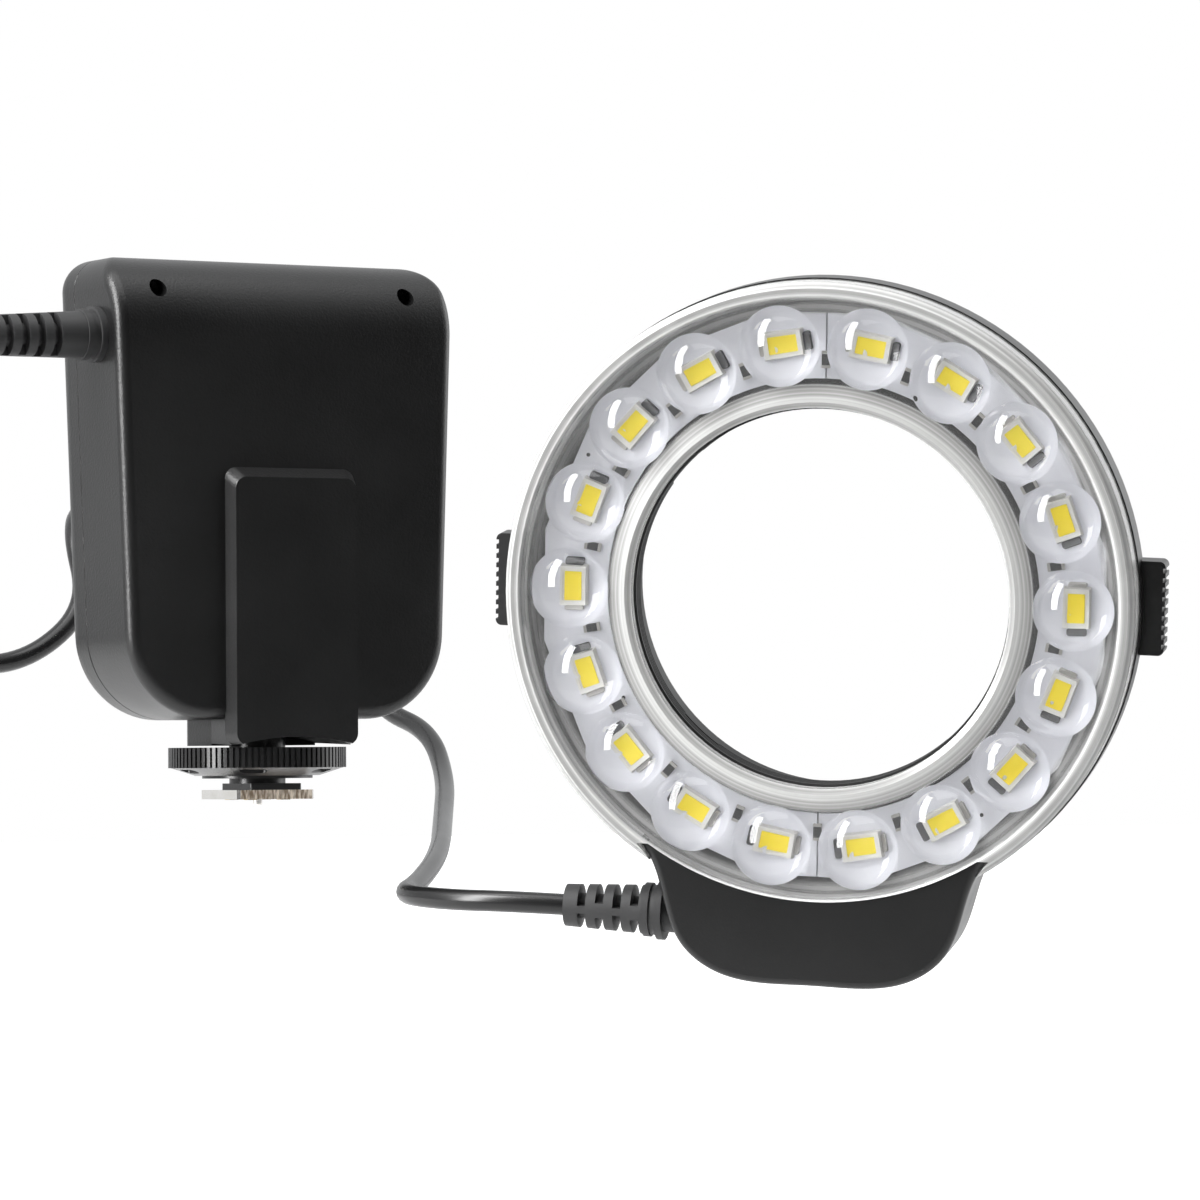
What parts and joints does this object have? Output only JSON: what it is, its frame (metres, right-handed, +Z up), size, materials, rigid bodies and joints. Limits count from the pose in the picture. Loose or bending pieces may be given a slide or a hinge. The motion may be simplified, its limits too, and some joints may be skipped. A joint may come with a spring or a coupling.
{
  "type": "macro ring flash",
  "caption": "Ring light head with lensed lamps behind a clear cover, round a lens bore, joined by a cord to a hot-shoe controller with a locking wheel.",
  "frame": {"origin": "centre of the shoe foot's underside", "axes": "+Z up, the controller's plain front faces -Y and its display +Y, +X to the side that carries the battery door"},
  "size_m": [0.2193, 0.2997, 0.1547],
  "materials": {
    "shell_black": "satin",
    "head_black": "satin",
    "relief_rubber": "matte",
    "cord_jacket": "satin",
    "clear_cover": "clear gloss",
    "display_window": "smoked gloss",
    "display_glass": "satin",
    "circuit_board": "satin",
    "lamp_board": "satin",
    "lamp": "matte",
    "resistor": "matte",
    "nickel": "plated",
    "contact_brass": "polished",
    "insert_black": "matte",
    "screw_black": "blackened",
    "wheel_black": "matte",
    "adapter_black": "black anodised",
    "cell_wrap": "satin wrap",
    "button_grey": "satin",
    "ready_lamp": "translucent"
  },
  "bodies": {
    "root": {"back_plate": "head_black", "back_screws": "screw_black", "bay_contact": "nickel", "case_screws": "screw_black", "cell_1": "cell_wrap", "cell_2": "cell_wrap", "cell_3": "cell_wrap", "cell_4": "cell_wrap", "contact_insert": "insert_black", "controller_front_shell": "shell_black", "controller_rear_shell": "shell_black", "controller_strain_relief": "relief_rubber", "display_module": "display_glass", "display_window": "display_window", "foot_block": "shell_black", "foot_plate": "nickel", "front_cover": "clear_cover", "junction_cover": "head_black", "lamps_left": "lamp", "lamps_right": "lamp", "led_board_left": "lamp_board", "led_board_right": "lamp_board", "main_board": "circuit_board", "ready_lamp": "ready_lamp", "rear_housing": "head_black", "resistors": "resistor", "ring_strain_relief": "relief_rubber", "shoe_stud": "nickel", "side_contacts": "contact_brass", "sync_cord": "cord_jacket"},
    "washer": {"clamp_washer": "nickel"},
    "wheel": {"locking_wheel": "wheel_black"},
    "centre_pin": {"centre_pin": "contact_brass"},
    "door_slide": {"door_pin": "nickel"},
    "door": {"battery_door": "shell_black", "door_contact": "nickel"},
    "menu_button_1": {"menu_button_1": "button_grey"},
    "menu_button_2": {"menu_button_2": "button_grey"},
    "menu_button_3": {"menu_button_3": "button_grey"},
    "menu_button_4": {"menu_button_4": "button_grey"},
    "test_button": {"test_button": "button_grey"},
    "power_switch": {"power_switch": "button_grey"},
    "latch_right": {"latch_right": "head_black"},
    "latch_left": {"latch_left": "head_black"},
    "adapter": {"adapter_ring": "adapter_black"}
  },
  "joints": [
    {"name": "wheel_turn", "type": "hinge", "parent": "washer", "child": "wheel", "pos_m": [0, 0, 0.0068], "axis": [0, 0, -1], "range_deg": [0, 360]},
    {"name": "washer_press", "type": "slide", "parent": "root", "child": "washer", "axis": [0, 0, -1], "range_m": [0, 0.001]},
    {"name": "centre_pin_press", "type": "slide", "parent": "root", "child": "centre_pin", "axis": [0, 0, 1], "range_m": [0, 0.0012], "stiffness_N_per_m": 500},
    {"name": "door_slide_out", "type": "slide", "parent": "root", "child": "door_slide", "axis": [-0.0362, 0, -0.9993], "range_m": [0, 0.003]},
    {"name": "door_swing", "type": "hinge", "parent": "door_slide", "child": "door", "pos_m": [0.0365, 0.0026, 0.01724], "axis": [0.0362, 0, 0.9993], "range_deg": [0, 95]},
    {"name": "menu_button_1_press", "type": "slide", "parent": "root", "child": "menu_button_1", "axis": [0, -1, 0], "range_m": [0, 0.0008], "stiffness_N_per_m": 500},
    {"name": "menu_button_2_press", "type": "slide", "parent": "root", "child": "menu_button_2", "axis": [0, -1, 0], "range_m": [0, 0.0008], "stiffness_N_per_m": 500},
    {"name": "menu_button_3_press", "type": "slide", "parent": "root", "child": "menu_button_3", "axis": [0, -1, 0], "range_m": [0, 0.0008], "stiffness_N_per_m": 500},
    {"name": "menu_button_4_press", "type": "slide", "parent": "root", "child": "menu_button_4", "axis": [0, -1, 0], "range_m": [0, 0.0008], "stiffness_N_per_m": 500},
    {"name": "test_button_press", "type": "slide", "parent": "root", "child": "test_button", "axis": [0, -1, 0], "range_m": [0, 0.0008], "stiffness_N_per_m": 500},
    {"name": "power_switch_slide", "type": "slide", "parent": "root", "child": "power_switch", "axis": [1, 0, 0], "range_m": [0, 0.0038]},
    {"name": "latch_right_press", "type": "slide", "parent": "root", "child": "latch_right", "axis": [-0.7277, 0.6835, 0.0576], "range_m": [0, 0.0025], "stiffness_N_per_m": 800},
    {"name": "latch_left_press", "type": "slide", "parent": "root", "child": "latch_left", "axis": [0.7277, -0.6835, -0.0576], "range_m": [0, 0.0025], "stiffness_N_per_m": 800},
    {"name": "adapter_turn", "type": "hinge", "parent": "root", "child": "adapter", "pos_m": [0.05332, -0.14602, 0.04118], "axis": [-0.6821, -0.7123, -0.1657], "continuous": true}
  ],
  "couplings": [
    {"joint": "wheel_turn", "follows": "washer_press", "rad_per_m": 6283.2}
  ]
}
